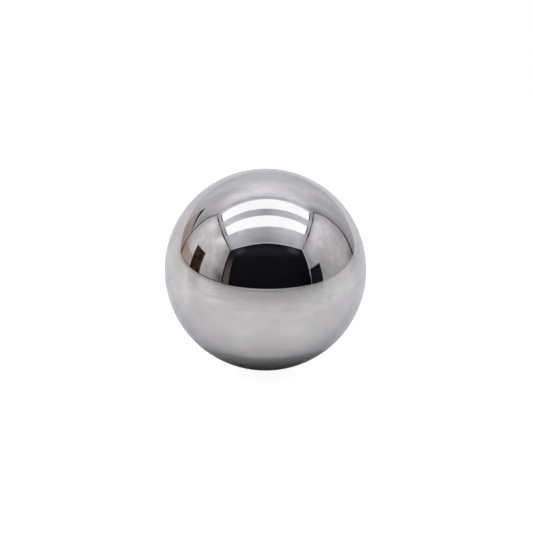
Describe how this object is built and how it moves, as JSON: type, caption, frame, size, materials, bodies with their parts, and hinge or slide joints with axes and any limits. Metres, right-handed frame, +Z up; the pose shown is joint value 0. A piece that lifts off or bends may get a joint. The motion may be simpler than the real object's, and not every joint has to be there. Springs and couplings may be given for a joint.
{
  "type": "steel ball",
  "caption": "Solid polished steel ball: a plain, mirror-bright sphere that rolls freely or seats in a cup, ring or raceway.",
  "frame": {"origin": "centre of the ball", "axes": "+Z up, away from the seat that the ball lies in; the ball is the same along every axis"},
  "size_m": [0.025, 0.025, 0.025],
  "materials": {
    "polished_steel": "hardened bearing steel, ground and lapped to a bright mirror"
  },
  "bodies": {
    "root": {"steel_ball": "polished_steel"}
  },
  "joints": []
}
